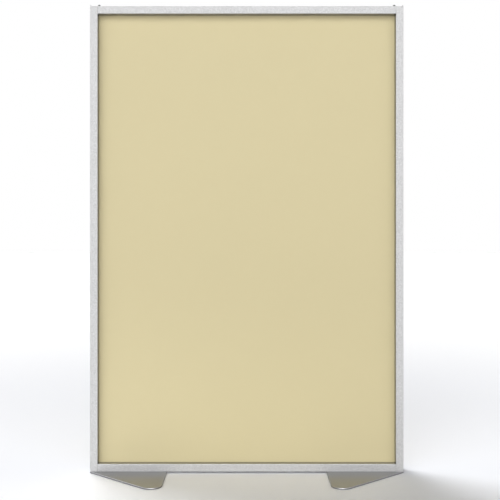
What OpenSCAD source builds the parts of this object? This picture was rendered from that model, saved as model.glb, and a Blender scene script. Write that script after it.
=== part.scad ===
// Free-standing partition panel: an aluminium frame holds a faced board, and a flat steel foot
// under each end keeps it upright. The left half is modelled and the right half is its mirror.
// Origin: on the floor, under the middle of the panel. X runs along it, -Y is its front, Z is up.
// Sizes in millimetres.

/* [Panel] */
// Width over the outer faces of both stiles
panel_w = 1220.7; // [800:0.1:1600]
// Height of the frame, from its underside to the top of the top rail
frame_h = 1813; // [1000:1:2200]
// Thickness of the frame, from front face to back face
frame_d = 76.2; // [70:0.1:90]

/* [Frame extrusion] */
// Width of the face that each stile and rail shows
face_w = 29.5; // [27:0.5:40]
// Outer walls of the extrusion
wall = 1.8; // [1.4:0.1:2.4]
// Walls on either side of the slot that holds the infill
web = 1.4; // [1:0.1:1.6]
// Depth of that slot, from the inner edge of the frame
slot_deep = 11; // [10:0.5:13]
// Radius of the long edges on the outside of the frame
edge_r = 0.8; // [0.4:0.1:1.5]
// Radius of the long edges beside the infill
lip_r = 1.5; // [0.5:0.1:1.7]
// Metal round each screw port in the rails
port_wall = 1.4; // [1:0.1:1.6]

/* [Infill] */
// Thickness of the board with both facings
infill_t = 12.7; // [10:0.1:16]
// Thickness of each facing
facing_t = 0.8; // [0.4:0.1:2]
// How far the infill reaches into the slot
engage = 9; // [7:0.5:9.5]
// Thickness of the vinyl channel on the infill's edges
liner_t = 0.6; // [0.4:0.1:0.8]
// Height of the vinyl channel's legs
liner_leg = 8; // [5:0.5:8.5]
// Length of each setting block under the infill
block_len = 100; // [40:5:150]
// Distance of each setting block from the middle of the panel
block_at = 300; // [150:10:350]

/* [Frame joints] */
// Diameter of the screws that hold the stiles to the rails
frame_screw_d = 4; // [3.5:0.1:4.4]
// Length of those screws under the head
frame_screw_len = 38; // [30:1:50]
// Diameter of their heads
frame_head_d = 7; // [6:0.1:7.4]
// Height of their heads
frame_head_h = 4; // [2.5:0.1:5]
// Diameter of the holes in the outer wall that let the heads through
access_d = 8; // [7.8:0.1:9]
// Depth of the plugs that close those holes
plug_deep = 4; // [3:0.5:6]
// Wall and face of those plugs
plug_wall = 1.2; // [0.8:0.1:1.6]
// How far their collar stands out behind the stile's wall
plug_collar = 0.25; // [0.1:0.05:0.4]

/* [End caps] */
// Thickness of the cap that closes each end of a stile
cap_t = 1.2; // [0.8:0.1:3]
// Depth of the cap's middle plug
cap_plug_deep = 14; // [5:0.5:20]
// Wall of its plugs, which are hollow
cap_plug_wall = 1.5; // [1:0.1:2.5]

/* [Feet] */
// Length of each foot along the panel
foot_len = 300; // [220:1:360]
// Reach of each foot in front of the frame and behind it
foot_reach = 219.45; // [180:0.05:300]
// Radius of the foot's rounded tips
tip_r = 42; // [20:1:70]
// Thickness of the steel plate
foot_t = 4.5; // [3:0.1:8]
// Size of the bevel along the plate's top edge
foot_ease = 2.6; // [0.4:0.1:2.8]
// Diameter of the foot screws
foot_screw_d = 5; // [4:0.1:6]
// Diameter of their countersunk heads
foot_head_d = 9.8; // [8:0.1:11]
// Number of screws in each of a foot's two rows
foot_screws = 3; // [2:1:5]
// Distance of each row from the panel's middle plane
foot_screw_v = 13; // [10:0.5:15]
// Distance of the first foot screw from the panel's end
foot_screw_first = 70; // [60:1:90]
// Distance of the last foot screw from the foot's inner edge
foot_screw_last = 42; // [30:1:80]
// Thickness of the tapped bar inside the bottom rail
bar_t = 5; // [3:0.5:8]
// Width of that bar
bar_w = 40; // [36:1:60]
// Length of that bar past its first and last screws
bar_past = 20; // [10:1:25]

/* [Foot pads] */
// Thickness of the rubber pads
pad_t = 1; // [0.5:0.1:4]
// Diameter of the rubber pads
pad_d = 20; // [12:1:24]
// Distance of the end pads from the foot's two ends
pad_in = 20; // [14:1:24]

/* [Link brackets] */
// Width of the bracket on top of each end of the panel
bracket_w = 60; // [58:0.5:68]
// Length of the bracket past its screws
bracket_past = 12; // [10:0.5:30]
// Radius of its two inner corners
bracket_corner_r = 8; // [2:0.5:14]
// Thickness of the bracket
bracket_t = 2; // [1.5:0.1:3]
// Height of its upturned end above the frame
tab_h = 6.5; // [5:0.1:14]
// Inside radius of its bend
bend_r = 1; // [0.5:0.1:2]
// Distance of the bracket's two screws from the end of the rail
bracket_screw_in = 4.5; // [4.2:0.1:6]
// Distance of each of them from the panel's middle plane
bracket_screw_v = 24.5; // [12:0.5:25]
// Diameter of those screws
bracket_screw_d = 5; // [4:0.1:5]
// Diameter of their heads
bracket_head_d = 8.5; // [7:0.1:9]
// Height of their heads
bracket_head_h = 5; // [3:0.1:6]
// Thickness of the tapped plate that they pull on
bracket_nut_t = 4; // [2.5:0.1:6]
// Length of that plate
bracket_nut_len = 12; // [9:0.5:20]
// Width of that plate
bracket_nut_w = 60; // [58:0.5:68]

/* [Clearances] */
// Screw to tapped hole, on the radius
thread_fit = 0.05; // [0.02:0.01:0.1]
// Screw to drilled hole, on the radius
hole_fit = 0.25; // [0.1:0.05:0.3]
// Plug or cap to the opening that it closes, on each side
plug_fit = 0.05; // [0.02:0.01:0.2]
// Vinyl channel to the slot, on each side
slot_fit = 0.1; // [0.05:0.01:0.2]

/* [Hidden] */
$fn = 64;
// Extra depth of a cut past the face it leaves
past = 1;
// Hexagon socket in a cylinder head: depth and width as shares of the head's
socket_deep = 0.5;
socket_wide = 0.5;
// Hexagon socket in a countersunk head: depth and width as shares of the head's
sink_socket_deep = 0.9;
sink_socket_wide = 0.35;
// Length of a screw past the nut it passes through
screw_past = 1.5;
// Cap's middle plug to the hole plugs, and its other plugs to the frame screws
cap_gap = 0.8;
// Side liners to the legs of the top and bottom liners
liner_gap = 0.5;
// Tapped plate to the stile
nut_gap = 0.3;

half_w = panel_w / 2;
half_d = frame_d / 2;
frame_z0 = pad_t + foot_t;
frame_z1 = frame_z0 + frame_h;
frame_mid = (frame_z0 + frame_z1) / 2;
rail_len = panel_w - 2 * face_w;

// The section is drawn with u from the outside of the frame to its inner edge, and v through it
slot_floor = face_w - slot_deep;
chamber_u1 = slot_floor - wall;
slot_v = infill_t / 2 + liner_t + slot_fit;
side_v0 = slot_v + web;
side_v1 = half_d - wall;
port_r = frame_screw_d / 2 + port_wall;
port_u = chamber_u1 - frame_screw_d / 2 - port_wall / 2;
port_v = (side_v0 + side_v1) / 2;

infill_w = panel_w - 2 * (face_w - engage);
infill_h = frame_h - 2 * (face_w - engage);
infill_z0 = frame_mid - infill_h / 2;
infill_z1 = frame_mid + infill_h / 2;
block_t = slot_deep - engage - liner_t;

cap_plug_v = port_v - access_d / 2 - plug_collar - cap_gap;
cap_lip_deep = port_u - frame_screw_d / 2 - cap_t - cap_gap;

// A foot in plan: a runs inward from the panel's end, b away from the panel's middle plane
tip = [foot_len - tip_r, half_d + foot_reach - tip_r];
corner = [0, half_d];
to_tip = tip - corner;
flare = atan2(to_tip[1], to_tip[0]) + asin(tip_r / norm(to_tip));
flare_len = sqrt(to_tip * to_tip - tip_r * tip_r);
tangent = corner + flare_len * [cos(flare), sin(flare)];
foot_screw_step = (foot_len - foot_screw_last - foot_screw_first) / (foot_screws - 1);
foot_screw_at = [for (i = [0 : foot_screws - 1]) foot_screw_first + i * foot_screw_step];
foot_screw_len = foot_t + wall + bar_t + screw_past;

bracket_screw_at = face_w + bracket_screw_in;
bracket_len = bracket_screw_at + bracket_past;
bracket_screw_len = bracket_t + wall + bracket_nut_t + screw_past;

// Helpers

// Mirrors a left-hand piece to the right-hand end
module flip() {
  mirror([1, 0, 0]) children();
}

// Draws a left-hand shape at both ends
module both_ends() {
  children();
  flip() children();
}

// Moves to the left end of the panel, where X is the distance from that end
module from_end() {
  translate([-half_w, 0, 0]) children();
}

// What a square corner at the origin loses to a radius
module corner_cut(r) {
  difference() {
    translate([-past, -past]) square(r + past);
    translate([r, r]) circle(r);
  }
}

// Outside of the extrusion, with its four long edges rounded
module section_outline() {
  difference() {
    translate([0, -half_d]) square([face_w, frame_d]);
    translate([0, -half_d]) corner_cut(edge_r);
    mirror([0, 1]) translate([0, -half_d]) corner_cut(edge_r);
    translate([face_w, -half_d]) mirror([1, 0]) corner_cut(lip_r);
    mirror([0, 1]) translate([face_w, -half_d]) mirror([1, 0]) corner_cut(lip_r);
  }
}

// The hollows of the extrusion: a main chamber, the infill slot, and a chamber in each lip
module section_hollows() {
  translate([wall, -side_v1]) square([chamber_u1 - wall, 2 * side_v1]);
  translate([slot_floor, -slot_v]) square([slot_deep + past, 2 * slot_v]);
  for (s = [-1, 1])
    translate([slot_floor, s > 0 ? side_v0 : -side_v1])
      square([slot_deep - wall, side_v1 - side_v0]);
}

// Section of the stiles
module stile_section() {
  difference() {
    section_outline();
    section_hollows();
  }
}

// Section of the rails, which adds two screw ports to the main chamber's inner wall
module rail_section() {
  difference() {
    union() {
      stile_section();
      for (s = [-1, 1])
        translate([port_u, s * port_v]) {
          circle(port_r);
          translate([0, -port_r]) square([chamber_u1 + wall / 2 - port_u, 2 * port_r]);
        }
    }
    for (s = [-1, 1])
      translate([port_u, s * port_v]) circle(frame_screw_d / 2 + thread_fit);
  }
}

// Hexagon socket screw along +Z, the underside of its head at z = 0
module socket_screw(d, len, head_d, head_h) {
  difference() {
    union() {
      cylinder(d = d, h = len);
      translate([0, 0, -head_h]) cylinder(d = head_d, h = head_h);
    }
    translate([0, 0, -head_h - past])
      cylinder(d = head_d * socket_wide, h = head_h * socket_deep + past, $fn = 6);
  }
}

// Countersunk screw along +Z, the top of its head at z = 0
module countersunk_screw(d, len, head_d) {
  sink = (head_d - d) / 2;
  difference() {
    union() {
      cylinder(d = d, h = len);
      cylinder(d1 = head_d, d2 = d, h = sink);
    }
    translate([0, 0, -past])
      cylinder(d = head_d * sink_socket_wide, h = sink * sink_socket_deep + past, $fn = 6);
  }
}

// Puts its children, drawn along +Z, where each frame screw of the left end crosses the plane u
module at_frame_screws(u) {
  for (z = [frame_z0 + port_u, frame_z1 - port_u])
    for (s = [-1, 1])
      from_end() translate([u, s * port_v, z]) rotate([0, 90, 0]) children();
}

// Puts its children at each foot screw of the left end, at the height z
module at_foot_screws(z) {
  for (a = foot_screw_at)
    for (v = [-foot_screw_v, foot_screw_v])
      from_end() translate([a, v, z]) children();
}

// Puts its children at both bracket screws of the left end, at the height z
module at_bracket_screws(z) {
  for (v = [-bracket_screw_v, bracket_screw_v])
    from_end() translate([bracket_screw_at, v, z]) children();
}

// Frame

module stile() {
  color("silver") difference() {
    from_end() translate([0, 0, frame_z0 + cap_t])
      linear_extrude(frame_h - 2 * cap_t) stile_section();
    at_frame_screws(-past) cylinder(d = access_d, h = wall + 2 * past);
    at_frame_screws(chamber_u1 - past)
      cylinder(r = frame_screw_d / 2 + hole_fit, h = face_w - chamber_u1 + 2 * past);
  }
}

module left_stile() {
  stile();
}

module right_stile() {
  flip() stile();
}

module top_rail() {
  color("silver") difference() {
    translate([-rail_len / 2, 0, frame_z1]) rotate([0, 90, 0])
      linear_extrude(rail_len) rail_section();
    both_ends() at_bracket_screws(frame_z1 - wall - past)
      cylinder(r = bracket_screw_d / 2 + hole_fit, h = wall + 2 * past);
  }
}

module bottom_rail() {
  color("silver") difference() {
    translate([rail_len / 2, 0, frame_z0]) rotate([0, -90, 0])
      linear_extrude(rail_len) rail_section();
    both_ends() at_foot_screws(frame_z0 - past)
      cylinder(r = foot_screw_d / 2 + hole_fit, h = wall + 2 * past);
  }
}

module frame_screws() {
  color("gainsboro") at_frame_screws(chamber_u1)
    socket_screw(frame_screw_d, frame_screw_len, frame_head_d, frame_head_h);
}

module left_frame_screws() {
  frame_screws();
}

module right_frame_screws() {
  flip() frame_screws();
}

// Push-in plugs, flush with the stile, each with a collar that snaps behind the wall
module hole_plugs() {
  r = access_d / 2 - plug_fit;
  color("lightgrey") at_frame_screws(0) difference() {
    union() {
      cylinder(r = r, h = plug_deep);
      translate([0, 0, wall])
        cylinder(r1 = access_d / 2 + plug_collar, r2 = r, h = plug_wall);
    }
    translate([0, 0, plug_wall]) cylinder(r = r - plug_wall, h = plug_deep);
  }
}

module left_hole_plugs() {
  hole_plugs();
}

module right_hole_plugs() {
  flip() hole_plugs();
}

// Rectangular tube along +Z, as deep as asked, between the corners p and q
module cap_tube(p, q, deep) {
  size = q - p;
  walls = [cap_plug_wall, cap_plug_wall];
  linear_extrude(deep) difference() {
    translate(p) square(size);
    translate(p + walls) square(size - 2 * walls);
  }
}

// Cap for the lower end of a stile: a flange, a hollow plug in the main chamber and a shorter one
// in each lip chamber. It lies under z = 0 by the flange's thickness.
module cap() {
  lip_u0 = slot_floor + plug_fit;
  lip_u1 = face_w - wall - plug_fit;
  lip_v0 = side_v0 + plug_fit;
  lip_v1 = side_v1 - plug_fit;
  color("lightgrey") {
    translate([0, 0, -cap_t]) linear_extrude(cap_t) section_outline();
    cap_tube([wall + plug_fit, -cap_plug_v], [chamber_u1 - plug_fit, cap_plug_v], cap_plug_deep);
    cap_tube([lip_u0, lip_v0], [lip_u1, lip_v1], cap_lip_deep);
    cap_tube([lip_u0, -lip_v1], [lip_u1, -lip_v0], cap_lip_deep);
  }
}

module bottom_cap() {
  from_end() translate([0, 0, frame_z0 + cap_t]) cap();
}

module top_cap() {
  from_end() translate([0, 0, frame_z1 - cap_t]) mirror([0, 0, 1]) cap();
}

module top_left_cap() {
  top_cap();
}

module top_right_cap() {
  flip() top_cap();
}

module bottom_left_cap() {
  bottom_cap();
}

module bottom_right_cap() {
  flip() bottom_cap();
}

// Infill

// Board as wide and high as the infill, between the planes y0 and y1
module board(y0, y1) {
  translate([-infill_w / 2, y0, infill_z0]) cube([infill_w, y1 - y0, infill_h]);
}

module infill_core() {
  color("burlywood") board(-infill_t / 2 + facing_t, infill_t / 2 - facing_t);
}

module front_facing() {
  color([0.85, 0.80, 0.64]) board(-infill_t / 2, -infill_t / 2 + facing_t);
}

module back_facing() {
  color([0.85, 0.80, 0.64]) board(infill_t / 2 - facing_t, infill_t / 2);
}

// Vinyl channel along +Z on an infill edge that lies at x = 0, with the infill at x > 0
module liner(len) {
  half = infill_t / 2;
  color("whitesmoke") linear_extrude(len) difference() {
    translate([-liner_t, -half - liner_t]) square([liner_t + liner_leg, 2 * (half + liner_t)]);
    translate([0, -half]) square([liner_leg + past, infill_t]);
  }
}

module side_liner() {
  end = liner_leg + liner_gap;
  translate([-infill_w / 2, 0, infill_z0 + end]) liner(infill_h - 2 * end);
}

module left_liner() {
  side_liner();
}

module right_liner() {
  flip() side_liner();
}

module top_liner() {
  translate([-infill_w / 2, 0, infill_z1]) rotate([0, 90, 0]) liner(infill_w);
}

module bottom_liner() {
  translate([infill_w / 2, 0, infill_z0]) rotate([0, -90, 0]) liner(infill_w);
}

module setting_blocks() {
  color("dimgrey")
    for (s = [-1, 1])
      translate([s * block_at - block_len / 2, -slot_v + slot_fit, frame_z0 + slot_floor])
        cube([block_len, 2 * (slot_v - slot_fit), block_t]);
}

// Feet

// Cut along the top edge from p to q of a plate that lies on the right of that line. It runs some
// way past both ends, where the edge turns a corner.
module edge_bevel(p, q) {
  run = q - p;
  over = 2 * foot_ease;
  translate([p[0], p[1], foot_t]) rotate(atan2(run[1], run[0])) translate([-over, 0, 0])
    rotate([90, 0, 90]) linear_extrude(norm(run) + 2 * over)
      polygon([[-foot_ease - past, past], [past, -foot_ease - past], [past, past]]);
}

// Tip of the plate: a disc with a bevelled top edge
module foot_tip() {
  cylinder(r = tip_r, h = foot_t - foot_ease);
  translate([0, 0, foot_t - foot_ease]) cylinder(r1 = tip_r, r2 = tip_r - foot_ease, h = foot_ease);
}

// The plate between the tips gets its bevels first, because they only touch those of the tips
module foot_plate() {
  inner = [foot_len, tip[1]];
  half = [corner, tangent, tip, inner];
  mirrored = [for (i = [3 : -1 : 0]) [half[i][0], -half[i][1]]];
  difference() {
    linear_extrude(foot_t) polygon(concat(half, mirrored));
    edge_bevel(corner, tangent);
    mirror([0, 1, 0]) edge_bevel(corner, tangent);
    edge_bevel(inner, [inner[0], -inner[1]]);
  }
  translate([tip[0], tip[1], 0]) foot_tip();
  translate([tip[0], -tip[1], 0]) foot_tip();
}

module foot() {
  sink_r = foot_head_d / 2 + hole_fit + past;
  color("dimgrey") difference() {
    from_end() translate([0, 0, pad_t]) foot_plate();
    at_foot_screws(pad_t - past) {
      cylinder(r = foot_screw_d / 2 + hole_fit, h = foot_t + 2 * past);
      cylinder(r1 = sink_r, r2 = 0, h = sink_r);
    }
  }
}

module left_foot() {
  foot();
}

module right_foot() {
  flip() foot();
}

module foot_screw_set() {
  color("gainsboro") at_foot_screws(pad_t)
    countersunk_screw(foot_screw_d, foot_screw_len, foot_head_d);
}

module left_foot_screws() {
  foot_screw_set();
}

module right_foot_screws() {
  flip() foot_screw_set();
}

// Steel bar inside the bottom rail, held against its outer wall by the foot screws
module tapped_bar() {
  a0 = foot_screw_first - bar_past;
  a1 = foot_len - foot_screw_last + bar_past;
  color("grey") difference() {
    from_end() translate([a0, -bar_w / 2, frame_z0 + wall]) cube([a1 - a0, bar_w, bar_t]);
    at_foot_screws(frame_z0 + wall - past)
      cylinder(r = foot_screw_d / 2 + thread_fit, h = bar_t + 2 * past);
  }
}

module left_tapped_bar() {
  tapped_bar();
}

module right_tapped_bar() {
  flip() tapped_bar();
}

module foot_pads() {
  places = [[pad_in, 0], [foot_len - pad_in, 0], tip, [tip[0], -tip[1]]];
  color("black") from_end()
    for (p = places)
      translate([p[0], p[1], 0]) cylinder(d = pad_d, h = pad_t);
}

module left_foot_pads() {
  foot_pads();
}

module right_foot_pads() {
  flip() foot_pads();
}

// Link brackets

// Bent plate on the top of the panel's end: flat on the frame, turned up flush with the end
module link_bracket() {
  half = bracket_w / 2;
  color("grey") difference() {
    from_end() translate([0, half, frame_z1]) rotate([90, 0, 0])
      linear_extrude(bracket_w) difference() {
        square([bracket_len, tab_h]);
        corner_cut(bracket_t + bend_r);
        translate([bracket_t + bend_r, bracket_t]) square([bracket_len, tab_h]);
        translate([bracket_t, bracket_t + bend_r]) square([bracket_len, tab_h]);
        translate([bracket_t + bend_r, bracket_t + bend_r]) circle(bend_r);
      }
    for (s = [-1, 1])
      from_end() translate([bracket_len, s * half, frame_z1 - past])
        linear_extrude(bracket_t + 2 * past)
          rotate(s > 0 ? 180 : 90) corner_cut(bracket_corner_r);
    at_bracket_screws(frame_z1 - past)
      cylinder(r = bracket_screw_d / 2 + hole_fit, h = bracket_t + 2 * past);
  }
}

module left_link_bracket() {
  link_bracket();
}

module right_link_bracket() {
  flip() link_bracket();
}

module bracket_screws() {
  color("black") at_bracket_screws(frame_z1 + bracket_t) rotate([180, 0, 0])
    socket_screw(bracket_screw_d, bracket_screw_len, bracket_head_d, bracket_head_h);
}

module left_bracket_screw() {
  bracket_screws();
}

module right_bracket_screw() {
  flip() bracket_screws();
}

// Tapped plate inside the top rail, under the bracket
module bracket_nut() {
  nut_z = frame_z1 - wall - bracket_nut_t;
  color("grey") difference() {
    from_end() translate([face_w + nut_gap, -bracket_nut_w / 2, nut_z])
      cube([bracket_nut_len, bracket_nut_w, bracket_nut_t]);
    at_bracket_screws(nut_z - past)
      cylinder(r = bracket_screw_d / 2 + thread_fit, h = bracket_nut_t + 2 * past);
  }
}

module left_bracket_nut() {
  bracket_nut();
}

module right_bracket_nut() {
  flip() bracket_nut();
}

left_stile();
right_stile();
top_rail();
bottom_rail();
left_frame_screws();
right_frame_screws();
left_hole_plugs();
right_hole_plugs();
top_left_cap();
top_right_cap();
bottom_left_cap();
bottom_right_cap();
infill_core();
front_facing();
back_facing();
top_liner();
bottom_liner();
left_liner();
right_liner();
setting_blocks();
left_foot();
right_foot();
left_foot_screws();
right_foot_screws();
left_tapped_bar();
right_tapped_bar();
left_foot_pads();
right_foot_pads();
left_link_bracket();
right_link_bracket();
left_bracket_screw();
right_bracket_screw();
left_bracket_nut();
right_bracket_nut();
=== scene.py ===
import math

import bmesh
import bpy
import numpy as np
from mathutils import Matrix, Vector


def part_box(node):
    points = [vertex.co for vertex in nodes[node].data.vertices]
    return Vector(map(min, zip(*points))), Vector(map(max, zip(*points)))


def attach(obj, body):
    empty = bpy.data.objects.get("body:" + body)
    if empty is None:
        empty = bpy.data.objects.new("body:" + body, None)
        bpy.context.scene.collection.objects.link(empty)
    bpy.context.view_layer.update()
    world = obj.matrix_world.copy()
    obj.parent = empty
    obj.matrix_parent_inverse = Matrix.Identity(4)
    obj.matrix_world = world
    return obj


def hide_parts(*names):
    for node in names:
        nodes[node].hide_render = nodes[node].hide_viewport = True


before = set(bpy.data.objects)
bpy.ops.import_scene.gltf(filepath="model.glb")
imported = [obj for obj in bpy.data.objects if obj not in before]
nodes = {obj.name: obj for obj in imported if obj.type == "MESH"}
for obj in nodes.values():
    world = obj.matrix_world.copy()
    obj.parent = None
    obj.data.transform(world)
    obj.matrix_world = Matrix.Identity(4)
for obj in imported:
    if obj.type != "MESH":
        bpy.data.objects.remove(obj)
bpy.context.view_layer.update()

scene = bpy.context.scene


# Studio: a pale matt floor in a wide white room, looked at square on from panel mid-height. The key
# light stands behind to the left, with three softer ones and a low lamp in front. The room's walls
# and the two soft boxes light nothing themselves: they are there for the metal to mirror.

scene.view_settings.view_transform = "Standard"

eye = Vector((0.01265, -3.2881, 0.90555))
camera = bpy.data.objects.new("camera", bpy.data.cameras.new("camera"))
camera.location = eye
camera.rotation_euler = (math.radians(90), 0, 0)
camera.data.lens = 60.10
camera.data.sensor_width = 36
camera.data.shift_y = -0.019
scene.collection.objects.link(camera)
scene.camera = camera


def far_light(name, turn, rise, spread, glow):
    """A round light far off: turn is from the panel's front towards +X and rise from the floor, in
    degrees, spread is the angle it fills, and glow what it gives a white sheet that faces it."""
    lamp = bpy.data.lights.new(name, "SUN")
    lamp.energy = glow * math.pi
    lamp.angle = math.radians(spread)
    light = bpy.data.objects.new(name, lamp)
    turn, rise = math.radians(turn), math.radians(rise)
    towards = Vector((math.sin(turn) * math.cos(rise), -math.cos(turn) * math.cos(rise),
                      math.sin(rise)))
    light.rotation_euler = towards.to_track_quat("Z", "Y").to_euler()
    light.visible_glossy = False
    scene.collection.objects.link(light)


far_light("key", -144, 46, 44, 0.89)
far_light("front_left", -36, 24, 42, 0.30)
far_light("front", -6, 22, 44, 0.38)
far_light("front_right", 32, 21, 40, 0.22)

low_glow = 0.016
low_from = 1.6
low_up = 0.12
low_lamp = bpy.data.lights.new("low_front", "AREA")
low_lamp.shape = "RECTANGLE"
low_lamp.size = 1.6
low_lamp.size_y = 0.2
low_lamp.spread = math.radians(44)
low_lamp.energy = low_glow * (math.pi * low_from) ** 2
low_light = bpy.data.objects.new("low_front", low_lamp)
low_light.location = (0, -low_from, low_up)
low_light.rotation_euler = (math.radians(90), 0, 0)
low_light.visible_glossy = False
scene.collection.objects.link(low_light)

fill_glow = 0.05
world = bpy.data.worlds.new("fill")
world.use_nodes = True
world.node_tree.nodes["Background"].inputs["Color"].default_value = (1, 1, 1, 1)
world.node_tree.nodes["Background"].inputs["Strength"].default_value = fill_glow
scene.world = world


class Wire:
    """A value in a finish. Its operators add the Math node of the same name."""

    def __init__(self, finish, socket):
        self.finish = finish
        self.socket = socket

    def _math(self, operation, first, second):
        return self.finish.add("ShaderNodeMath", {0: first, 1: second}, operation=operation)

    def __add__(self, other):
        return self._math("ADD", self, other)

    def __radd__(self, other):
        return self._math("ADD", other, self)

    def __sub__(self, other):
        return self._math("SUBTRACT", self, other)

    def __rsub__(self, other):
        return self._math("SUBTRACT", other, self)

    def __mul__(self, other):
        return self._math("MULTIPLY", self, other)

    def __rmul__(self, other):
        return self._math("MULTIPLY", other, self)

    def __gt__(self, other):
        return self._math("GREATER_THAN", self, other)

    def __abs__(self):
        return self.finish.add("ShaderNodeMath", {0: self}, operation="ABSOLUTE")


class Finish:
    """A material for one kind of surface, patterned in object coordinates, in metres."""

    def __init__(self, name):
        self.material = bpy.data.materials.new(name)
        self.material.use_nodes = True
        tree = self.material.node_tree
        self.nodes = tree.nodes
        self.links = tree.links
        self.shader = self.nodes["Principled BSDF"]
        self.place = self.add("ShaderNodeTexCoord", output="Object")
        self.facing = self.add("ShaderNodeTexCoord", output="Normal")

    def feed(self, node, values):
        """Sets a node's inputs, each to a number, a colour or a wire."""
        for name, value in values.items():
            if isinstance(value, Wire):
                self.links.new(value.socket, node.inputs[name])
            elif isinstance(value, tuple) and len(value) == 3 and node.inputs[name].type == "RGBA":
                node.inputs[name].default_value = (*value, 1)
            else:
                node.inputs[name].default_value = value

    def add(self, kind, values=None, output=0, **settings):
        """Adds a node of any kind: its settings first, then its inputs. Gives back one output."""
        node = self.nodes.new(kind)
        for name, value in settings.items():
            setattr(node, name, value)
        self.feed(node, values or {})
        return Wire(self, node.outputs[output])

    def part(self, vector, axis):
        """The share of a vector along one axis."""
        return self.add("ShaderNodeSeparateXYZ", {0: vector}, output="XYZ".index(axis))

    def noise(self, size, detail=2.0, seed=0.0):
        """Soft noise from 0 to 1. size is the length of its lumps, one for all or each axis."""
        sizes = size if isinstance(size, tuple) else (size, size, size)
        lumps = self.add("ShaderNodeMapping", {"Vector": self.place, "Location": (seed, seed, seed),
                                               "Scale": tuple(1 / s for s in sizes)})
        return self.add("ShaderNodeTexNoise", {"Vector": lumps, "Scale": 1.0, "Detail": detail})

    def between(self, value, low, high):
        """0 where the value is low, 1 where it is high, and a smooth step between. Beyond them it
        stays at 0 or 1, and low may be the larger of the two."""
        return self.add("ShaderNodeMapRange", {"Value": value, "From Min": low, "From Max": high},
                        interpolation_type="SMOOTHSTEP")

    def blend(self, share, first, second):
        """The first colour where share is 0 and the second where it is 1."""
        return self.add("ShaderNodeMix", {0: share, 6: first, 7: second}, output=2,
                        data_type="RGBA")

    def finish(self, height=None, **surface):
        """Sets the shader's inputs, with height in metres as a bump, and gives the material."""
        if height is not None:
            surface["Normal"] = self.add("ShaderNodeBump", {"Height": height, "Distance": 1.0})
        self.feed(self.shader, surface)
        return self.material


def mesh_piece(name, points, faces):
    """A mesh object at the origin from arrays of points and of faces."""
    mesh = bpy.data.meshes.new(name)
    mesh.from_pydata(points, [], faces)
    piece = bpy.data.objects.new(name, mesh)
    scene.collection.objects.link(piece)
    return piece


floor_reach = 60.0
floor_drop = 0.0002
pale_from, pale_to = 1.5, 6.0
floor_corners = [(x * floor_reach, y * floor_reach, -floor_drop)
                 for x, y in ((-1, -1), (1, -1), (1, 1), (-1, 1))]
studio_floor = mesh_piece("studio_floor", floor_corners, [(0, 1, 2, 3)])
floor_paint = Finish("floor_paint")
# Painted light: the floor grows paler and whiter from pale_from to pale_to metres off the middle,
# so its far part fades into the white room. Its near part is bluish, which offsets the warm light
# the board throws on it.
from_middle = floor_paint.add("ShaderNodeVectorMath", {0: floor_paint.place}, output="Value",
                              operation="LENGTH")
painted_far_pale = floor_paint.between(from_middle, pale_from, pale_to)
studio_floor.data.materials.append(floor_paint.finish(**{
    "Base Color": floor_paint.blend(painted_far_pale, (0.875, 0.885, 0.915), (0.98, 0.98, 0.98)),
    "Roughness": 0.9, "Specular IOR Level": 0.2}))


def glowing(name, strength):
    """A white material that glows evenly and reflects nothing."""
    return Finish(name).finish(**{
        "Base Color": (0, 0, 0), "Specular IOR Level": 0.0, "Emission Color": (1, 1, 1),
        "Emission Strength": strength})


room_reach = 70.0
room_bottom = -1.0
room_corners = [(x, y, z) for x in (-room_reach, room_reach) for y in (-room_reach, room_reach)
                for z in (room_bottom, room_reach)]
room_sides = [(0, 1, 3, 2), (4, 6, 7, 5), (0, 4, 5, 1), (2, 3, 7, 6), (0, 2, 6, 4), (1, 5, 7, 3)]
studio_room = mesh_piece("studio_room", room_corners, room_sides)
studio_room.data.materials.append(glowing("room_white", 1.0))
studio_room.visible_diffuse = False
studio_room.visible_shadow = False


def soft_box(name, centre, wide, high, strength):
    """A glowing rectangle that faces the panel, with two level edges. Only metal shows it."""
    centre = Vector(centre)
    across = Vector((0, 0, 1)).cross(centre).normalized() * wide / 2
    up = centre.cross(across).normalized() * high / 2
    corners = [centre - across - up, centre + across - up,
               centre + across + up, centre - across + up]
    box = mesh_piece(name, corners, [(0, 3, 2, 1)])
    box.data.materials.append(glowing(name + "_white", strength))
    box.visible_camera = False
    box.visible_diffuse = False
    box.visible_shadow = False


soft_box("soft_box_above", (0, -3, 20), 12, 10, 6.0)
soft_box("soft_box_left", (-14.8, 6.4, 11.9), 9, 9, 1.8)


# Frame: two stiles and two rails of one pressed aluminium section, satin anodised, with the
# rails butted between the stiles. The CAD members keep their own shape and get their metal here.

speckle_size = 0.0024
speckle_deep = 1e-5
die_line = 0.0007
die_line_deep = 4e-6
die_run = 0.9
dark_grain = (0.420, 0.420, 0.423)
pale_grain = (0.680, 0.680, 0.683)
seam_shadow_grey = (0.42, 0.42, 0.42)
rail_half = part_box("top_rail")[1].x
seam_width = 0.0003


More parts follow.
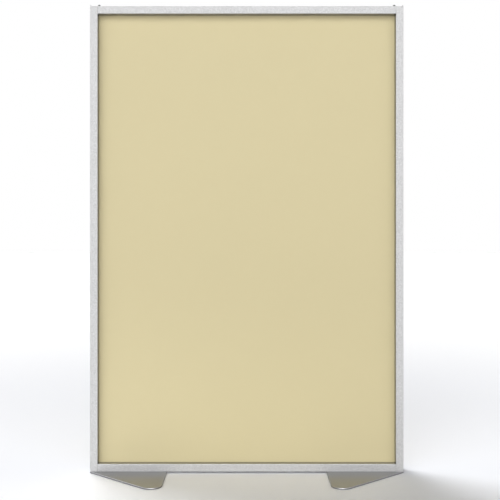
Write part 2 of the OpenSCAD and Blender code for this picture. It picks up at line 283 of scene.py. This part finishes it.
def satin_aluminium(name, along, seam):
    """Anodised metal with a fine speckle and with die lines along the axis it was pressed in. The
    front and back faces are ground before that, which makes them rougher and less metallic. All
    other faces, the walls of the slot among them, are darker in colour, which is painted shade.
    seam paints a shadow line on the last 0.3 mm of a rail, where it meets the stile."""
    skin = Finish(name)
    run = tuple(die_run if axis == along else die_line for axis in "XYZ")
    lines = skin.noise(run, detail=1.0)
    speckle = skin.noise(speckle_size, seed=3.1)
    # The mask below is 1 on faces that face front or back. Every other face, the slot's walls among
    # them, gets a darker colour: painted shade for the recess.
    ground_and_unshaded = skin.between(abs(skin.part(skin.facing, "Y")), 0.5, 0.95)
    grain = skin.between(speckle, 0.25, 0.75) + ground_and_unshaded * 0.25 + lines * 0.2 - 0.26
    colour = skin.blend(grain, dark_grain, pale_grain)
    # Painted shadow line: the last 0.3 mm at each end of a rail is painted grey, standing for the
    # shade in the butt joint.
    if seam:
        seam_shadow = abs(skin.part(skin.place, "X")) > rail_half - seam_width
        colour = skin.blend(seam_shadow, colour, seam_shadow_grey)
    return skin.finish(
        height=lines * die_line_deep + speckle * speckle_deep,
        **{"Base Color": colour, "Metallic": 0.85 - ground_and_unshaded * 0.17, "Specular Tint": (0.5, 0.5, 0.5),
           "Roughness": lines * 0.08 + 0.13 + ground_and_unshaded * (speckle * 0.10 + 0.33)})


stile_metal = satin_aluminium("satin_aluminium_stile", "Z", seam=False)
rail_metal = satin_aluminium("satin_aluminium_rail", "X", seam=True)
for node, metal in (("left_stile", stile_metal), ("right_stile", stile_metal),
                    ("top_rail", rail_metal), ("bottom_rail", rail_metal)):
    nodes[node].data.materials[0] = metal


# Board: a wood fibre core with a smooth beige vinyl film on both faces. It slides into the slot
# of the frame, in a soft vinyl channel, and stands on two rubber blocks.

vinyl = Finish("beige_vinyl")
pebble = vinyl.noise(0.0011)
cloud = vinyl.noise(0.22, seed=4.4)
fleck = vinyl.noise(0.004, seed=9.2)
film_tone = cloud * 0.7 + fleck * 0.3
vinyl_film = vinyl.finish(
    height=pebble * 6e-5,
    **{"Base Color": vinyl.blend(film_tone, (0.541, 0.474, 0.282), (0.547, 0.480, 0.286)),
       "Roughness": pebble * 0.16 + 0.46, "Specular IOR Level": 0.35})
nodes["front_facing"].data.materials[0] = vinyl_film
nodes["back_facing"].data.materials[0] = vinyl_film

fibre = Finish("fibre_board")
strands = fibre.noise((0.004, 0.0006, 0.004), detail=3.0)
nodes["infill_core"].data.materials[0] = fibre.finish(
    height=strands * 1.5e-4,
    **{"Base Color": fibre.blend(strands, (0.42, 0.31, 0.19), (0.66, 0.53, 0.37)),
       "Roughness": 0.9})

channel = Finish("channel_vinyl")
drag = channel.noise((0.3, 0.0008, 0.3), detail=1.0)
channel_vinyl = channel.finish(
    height=drag * 1e-5,
    **{"Base Color": channel.blend(drag, (0.74, 0.72, 0.66), (0.82, 0.80, 0.74)),
       "Roughness": drag * 0.15 + 0.38})
for node in ("top_liner", "bottom_liner", "left_liner", "right_liner"):
    nodes[node].data.materials[0] = channel_vinyl

rubber = Finish("black_rubber")
pores = rubber.noise(0.0009, detail=3.0)
dust = rubber.noise(0.006, seed=5.5)
black_rubber = rubber.finish(
    height=pores * 6e-5,
    **{"Base Color": rubber.blend(dust, (0.018, 0.018, 0.018), (0.045, 0.043, 0.040)),
       "Roughness": pores * 0.2 + 0.68})
nodes["setting_blocks"].data.materials[0] = black_rubber


# Screws: zinc-plated ones join the frame and hold the feet on, and two black ones with knurled
# heads hold each link bracket. All have a hexagon socket and rolled threads.

full_turn = 2 * math.pi
same_place = 1e-6
pole_join = 2e-7
sharp_from = math.radians(35)
rings_a_turn = 8
knurl_deep = 0.045
mouth_hexed = 0.3
socket_core = 0.98
socket_share = 0.5
sunk_socket_wide = 0.35
sunk_socket_deep = 0.9


def solids_in(node):
    """The lowest and highest corner of each separate solid in a CAD node."""
    mesh = bmesh.new()
    mesh.from_mesh(nodes[node].data)
    bmesh.ops.remove_doubles(mesh, verts=mesh.verts, dist=same_place)
    left = set(mesh.verts)
    corners = []
    while left:
        reached = [left.pop()]
        solid = []
        while reached:
            vert = reached.pop()
            solid.append(vert.co.copy())
            near = {edge.other_vert(vert) for edge in vert.link_edges} & left
            left -= near
            reached.extend(near)
        places = np.array(solid)
        corners.append((Vector(places.min(0)), Vector(places.max(0))))
    mesh.free()
    return sorted(corners, key=lambda box: tuple(box[0]))


def hexagon(angle):
    """Radius of a hexagon whose corners are at 1: the distance of its flats over the cosine of
    the angle to the nearest flat's middle."""
    to_flat = angle % (full_turn / 6) - full_turn / 12
    return math.cos(full_turn / 12) / np.cos(to_flat)


def ring_faces(rings, steps):
    """Quads of a tube of rings: each ring's points join those of the next ring, and the last
    point in a ring its first."""
    ring, step = np.meshgrid(np.arange(rings - 1), np.arange(steps), indexing="ij")
    after = (step + 1) % steps
    quads = np.stack([ring * steps + step, ring * steps + after,
                      (ring + 1) * steps + after, (ring + 1) * steps + step], axis=-1)
    return quads.reshape(-1, 4)


def turned_piece(name, grids):
    """One piece from closed grids of points, each (rings, steps, 3) and ending in a pole at both
    ends. A pole's points merge, faces turn outwards, and edges stay sharp from sharp_from on."""
    points, faces, first = [], [], 0
    for grid in grids:
        rings, steps, _ = grid.shape
        points.append(grid.reshape(-1, 3))
        faces.append(ring_faces(rings, steps) + first)
        first += rings * steps
    piece = mesh_piece(name, np.concatenate(points).tolist(), np.concatenate(faces).tolist())
    mesh = bmesh.new()
    mesh.from_mesh(piece.data)
    bmesh.ops.remove_doubles(mesh, verts=mesh.verts, dist=pole_join)
    bmesh.ops.recalc_face_normals(mesh, faces=mesh.faces)
    mesh.to_mesh(piece.data)
    mesh.free()
    piece.data.shade_smooth()
    piece.data.set_sharp_from_angle(angle=sharp_from)
    return piece


def screw_grid(shank_r, length, head, pitch, thread_deep, steps):
    """A screw along +Z with the underside of its head at z = 0. head lists (z, r, how hexagonal,
    how knurled) from the middle of the socket's floor to the shank, and a knurl is drawn in at
    every other step. The shank's radius falls from its nominal by a triangle wave of height over
    the pitch, less the share of a turn. It ends in a short cone."""
    angle = np.arange(steps) / steps * full_turn
    runout = 0.6 * pitch
    thread_z = np.arange(2 * thread_deep, length - runout, pitch / rings_a_turn)
    head_z, head_r, hexed, knurled = (np.array(column)[:, None] for column in zip(*head))
    cam = hexed * hexagon(angle)[None, :] + (1 - hexed)
    ribs = 1 - knurl_deep * knurled * (1 - np.abs(np.cos(angle * steps / 4)))[None, :]
    head_radius = head_r * cam * ribs
    wave = np.abs((thread_z[:, None] / pitch - angle[None, :] / full_turn) % 1 * 2 - 1)
    fade = np.clip((thread_z[:, None] - 2 * thread_deep) / pitch, 0, 1)
    shank_radius = shank_r - thread_deep * wave * fade
    tip_radius = np.array([[shank_r - 1.2 * thread_deep], [shank_r * 0.7], [0]]) + 0 * angle
    tip_z = np.array([[length - runout * 0.7], [length], [length]])
    radius = np.concatenate([head_radius, shank_radius, tip_radius])
    height = np.concatenate([head_z, thread_z[:, None], tip_z]) + 0 * angle
    return np.stack([radius * np.cos(angle), radius * np.sin(angle), height], axis=-1)


def socket_head(head_r, head_h, shank_r, ease, knurl):
    """Profile of a cylinder head: socket floor and wall, chamfered mouth, eased rim, underside."""
    socket_r = head_r * socket_share
    floor_z = head_h * socket_share - head_h
    return [(floor_z, 0, 1, 0), (floor_z, socket_r * socket_core, 1, 0), (floor_z, socket_r, 1, 0),
            (-head_h + ease, socket_r, 1, 0), (-head_h, socket_r + ease, mouth_hexed, 0),
            (-head_h, head_r - ease, 0, 0), (-head_h + 0.3 * ease, head_r - 0.3 * ease, 0, 0),
            (-head_h + ease, head_r, 0, 0), (-head_h + 1.3 * ease, head_r, 0, knurl),
            (-1.3 * ease, head_r, 0, knurl), (-ease, head_r, 0, 0), (0, head_r - ease, 0, 0),
            (0, shank_r, 0, 0)]


def sunk_head(head_r, shank_r, ease):
    """Profile of a countersunk head, whose top is at z = 0 and whose cone falls at 45 degrees."""
    socket_r = head_r * sunk_socket_wide
    socket_deep = (head_r - shank_r) * sunk_socket_deep
    return [(socket_deep, 0, 1, 0), (socket_deep, socket_r * socket_core, 1, 0),
            (socket_deep, socket_r, 1, 0), (ease, socket_r, 1, 0),
            (0, socket_r + ease, mouth_hexed, 0), (0, head_r - ease, 0, 0),
            (ease * 0.4, head_r - ease * 0.3, 0, 0), (ease * 1.4, head_r - ease * 1.4, 0, 0),
            (head_r - shank_r, shank_r, 0, 0)]


def laid(grid, place, way):
    """A grid drawn along +Z, turned to point along +X, -X, +Z or -Z and moved to a place."""
    x, y, z = np.moveaxis(grid, -1, 0)
    turned = {"+Z": (x, y, z), "-Z": (x, -y, -z), "+X": (z, y, -x), "-X": (-z, y, x)}[way]
    return np.stack(turned, axis=-1) + np.array(place)


def dress(piece, material, slot, *replaced):
    """Gives a new piece its material and lets it stand for CAD nodes, which it hides. slot is not
    used.
    """
    piece.data.materials.clear()
    piece.data.materials.append(material)
    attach(piece, "root")
    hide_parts(*replaced)


zinc = Finish("zinc_plate")
bloom = zinc.noise(0.0025)
zinc_plate = zinc.finish(
    height=zinc.noise(0.0004, detail=1.0) * 6e-6,
    **{"Base Color": zinc.blend(bloom, (0.56, 0.58, 0.60), (0.74, 0.74, 0.72)), "Metallic": 1.0,
       "Roughness": bloom * 0.2 + 0.22})

frame_screw_r = 0.0020
frame_head_r = 0.0035
frame_head_h = 0.0040
frame_head_ease = 0.00035
frame_head = socket_head(frame_head_r, frame_head_h, frame_screw_r, frame_head_ease, 0)
frame_pitch = 0.0014
frame_thread_deep = 0.00035
frame_screw_steps = 36
for side, way in (("left", "+X"), ("right", "-X")):
    node = side + "_frame_screws"
    grids = []
    for low, high in solids_in(node):
        length = high.x - low.x - frame_head_h
        seat = low.x + frame_head_h if way == "+X" else high.x - frame_head_h
        middle = (seat, (low.y + high.y) / 2, (low.z + high.z) / 2)
        grid = screw_grid(frame_screw_r, length, frame_head, frame_pitch, frame_thread_deep,
                          frame_screw_steps)
        grids.append(laid(grid, middle, way))
    dress(turned_piece(side + "_joint_screws", grids), zinc_plate, "fastener_steel", node)

m5_r = 0.0025
m5_pitch = 0.0008
m5_thread_deep = 0.0003
foot_screw_steps = 48
foot_head_r = 0.0049
foot_head_ease = 0.00015
foot_head = sunk_head(foot_head_r, m5_r, foot_head_ease)
for side in ("left", "right"):
    node = side + "_foot_screws"
    grids = []
    for low, high in solids_in(node):
        middle = ((low.x + high.x) / 2, (low.y + high.y) / 2, low.z)
        grid = screw_grid(m5_r, high.z - low.z, foot_head, m5_pitch, m5_thread_deep,
                          foot_screw_steps)
        grids.append(laid(grid, middle, "+Z"))
    dress(turned_piece(side + "_sunk_screws", grids), zinc_plate, "fastener_steel", node)

for node in ("left_tapped_bar", "right_tapped_bar", "left_bracket_nut", "right_bracket_nut"):
    nodes[node].data.materials[0] = zinc_plate

oxide = Finish("black_oxide")
oil = oxide.noise(0.0012)
black_oxide = oxide.finish(
    height=oil * 6e-6,
    **{"Base Color": oxide.blend(oil, (0.008, 0.008, 0.009), (0.020, 0.020, 0.021)),
       "Metallic": 0.4, "Roughness": oil * 0.2 + 0.45, "Specular IOR Level": 0.2})

bracket_head_r = 0.00425
bracket_head_h = 0.0050
bracket_head_ease = 0.0003
bracket_head = socket_head(bracket_head_r, bracket_head_h, m5_r, bracket_head_ease, 1)
bracket_screw_steps = 96
for side in ("left", "right"):
    node = side + "_bracket_screw"
    grids = []
    for low, high in solids_in(node):
        length = high.z - low.z - bracket_head_h
        grid = screw_grid(m5_r, length, bracket_head, m5_pitch, m5_thread_deep,
                          bracket_screw_steps)
        middle = ((low.x + high.x) / 2, (low.y + high.y) / 2, high.z - bracket_head_h)
        grids.append(laid(grid, middle, "-Z"))
    dress(turned_piece(side + "_black_screws", grids), black_oxide, "black_screw", node)


# Plugs and caps: grey moulded plastic, pushed in by hand. The plugs close the holes that the
# frame screws went in by, and the caps close both ends of each stile.

plastic = Finish("grey_plastic")
spark = plastic.noise(0.0003)
flow = plastic.noise(0.012, seed=2.2)
grey_plastic = plastic.finish(
    height=spark * 1.5e-5,
    **{"Base Color": plastic.blend(flow, (0.50, 0.50, 0.51), (0.58, 0.58, 0.59)),
       "Roughness": spark * 0.2 + 0.42})

plug_wall = 0.0012
plug_rim = 0.0003
plug_dish = 0.00015
plug_collar = 0.0003
collar_from = 0.0018
collar_flat_to = 0.0021
collar_to = 0.0030
plug_steps = 64


def turned_grid(profile, steps):
    """A closed grid along +Z: each (z, r) of the profile turned round the Z axis in equal steps."""
    angle = np.arange(steps) / steps * full_turn
    z, r = (np.array(column)[:, None] for column in zip(*profile))
    return np.stack([r * np.cos(angle), r * np.sin(angle), z + 0 * angle], axis=-1)


def plug_profile(radius, deep):
    """Profile of a cup: dished face, rounded rim, skirt with a collar, and open inside."""
    inside = radius - plug_wall
    return [(plug_dish, 0), (plug_dish, radius * 0.55), (plug_dish / 3, radius * 0.85),
            (0, radius - plug_rim), (plug_rim * 0.3, radius - plug_rim * 0.3), (plug_rim, radius),
            (collar_from, radius), (collar_from, radius + plug_collar),
            (collar_flat_to, radius + plug_collar), (collar_to, radius),
            (deep - plug_rim, radius), (deep, radius - plug_rim), (deep, inside + plug_rim),
            (deep - plug_rim, inside), (plug_wall + plug_rim, inside),
            (plug_wall, inside - plug_rim), (plug_wall, 0)]


for side, way in (("left", "+X"), ("right", "-X")):
    node = side + "_hole_plugs"
    grids = []
    for low, high in solids_in(node):
        radius = (high.y - low.y) / 2 - plug_collar
        face = low.x if way == "+X" else high.x
        middle = (face, (low.y + high.y) / 2, (low.z + high.z) / 2)
        grid = turned_grid(plug_profile(radius, high.x - low.x), plug_steps)
        grids.append(laid(grid, middle, way))
    dress(turned_piece(side + "_plugs", grids), grey_plastic, "grey_plastic", node)


flat_within = math.radians(0.5)
ease_from = math.radians(30)
cap_ease = 0.0003


def eased_copy(name, node, ease, segments=2, join=same_place):
    """A copy of a CAD node with its flat faces whole again and its sharp edges rounded. Points
    closer together than join become one."""
    piece = bpy.data.objects.new(name, nodes[node].data.copy())
    scene.collection.objects.link(piece)
    mesh = bmesh.new()
    mesh.from_mesh(piece.data)
    bmesh.ops.remove_doubles(mesh, verts=mesh.verts, dist=join)
    bmesh.ops.dissolve_limit(mesh, angle_limit=flat_within, verts=mesh.verts, edges=mesh.edges)
    mesh.to_mesh(piece.data)
    mesh.free()
    if piece.data.has_custom_normals:
        piece.data.normals_split_custom_set([(0, 0, 0)] * len(piece.data.loops))
    piece.data.shade_smooth()
    bevel = piece.modifiers.new("ease", "BEVEL")
    bevel.width = ease
    bevel.segments = segments
    bevel.limit_method = "ANGLE"
    bevel.angle_limit = ease_from
    level = piece.modifiers.new("level", "WEIGHTED_NORMAL")
    level.mode = "FACE_AREA"
    level.keep_sharp = True
    return piece


for corner in ("top_left", "top_right", "bottom_left", "bottom_right"):
    node = corner + "_cap"
    dress(eased_copy(corner + "_end_cap", node, cap_ease), grey_plastic, "grey_plastic", node)


# Feet: flat steel plates cut to a triangle with rounded tips and bevelled along the top, in a
# satin metallic grey coat. Six sunk screws in two rows hold each under the bottom rail, and it
# stands on four rubber pads.

coat = Finish("grey_steel_coat")
peel = coat.noise(0.0022)
flake = coat.noise(0.0005, detail=1.0, seed=6.1)
# Painted shade: faces that stand nearly upright, the plate's sides and the rounding into them, are
# painted near black for the dark outline of shade along the plate's edge.
painted_edge_shade = coat.between(abs(coat.part(coat.facing, "Z")), 0.62, 0.45)
coat_tone = coat.blend(flake, (0.238, 0.240, 0.246), (0.357, 0.359, 0.367))
steel_coat = coat.finish(
    height=peel * 2.5e-5 + flake * 4e-6,
    **{"Base Color": coat.blend(painted_edge_shade, coat_tone, (0.05, 0.05, 0.053)), "Metallic": 0.75,
       "Roughness": flake * 0.12 + 0.27})
foot_ease = 0.0006
foot_segments = 3
tip_join = 0.00015
for side in ("left", "right"):
    node = side + "_foot"
    plate = eased_copy(side + "_foot_plate", node, foot_ease, foot_segments, tip_join)
    dress(plate, steel_coat, "foot_steel", node)

pad_round = 0.00025
pad_steps = 48
for side in ("left", "right"):
    node = side + "_foot_pads"
    grids = []
    for low, high in solids_in(node):
        radius = (high.x - low.x) / 2
        thick = high.z - low.z
        profile = [(0, 0), (0, radius - pad_round), (pad_round * 0.3, radius - pad_round * 0.3),
                   (pad_round, radius), (thick - pad_round, radius),
                   (thick - pad_round * 0.3, radius - pad_round * 0.3), (thick, radius - pad_round),
                   (thick, 0)]
        middle = ((low.x + high.x) / 2, (low.y + high.y) / 2, low.z)
        grids.append(laid(turned_grid(profile, pad_steps), middle, "+Z"))
    dress(turned_piece(side + "_pads", grids), black_rubber, "black_rubber", node)


# Link brackets: bent steel strips on the top corners, turned up flush with the panel's end, each
# under its two black screws. They tie a panel to its neighbour.

strip = Finish("bracket_steel")
brushed = strip.noise((0.02, 0.0004, 0.02))
bracket_steel = strip.finish(
    height=brushed * 6e-6,
    **{"Base Color": strip.blend(brushed, (0.44, 0.44, 0.45), (0.60, 0.60, 0.60)),
       "Metallic": 1.0, "Roughness": brushed * 0.2 + 0.26})
bracket_ease = 0.0003
for side in ("left", "right"):
    node = side + "_link_bracket"
    dress(eased_copy(side + "_bracket", node, bracket_ease), bracket_steel, "bracket_steel", node)
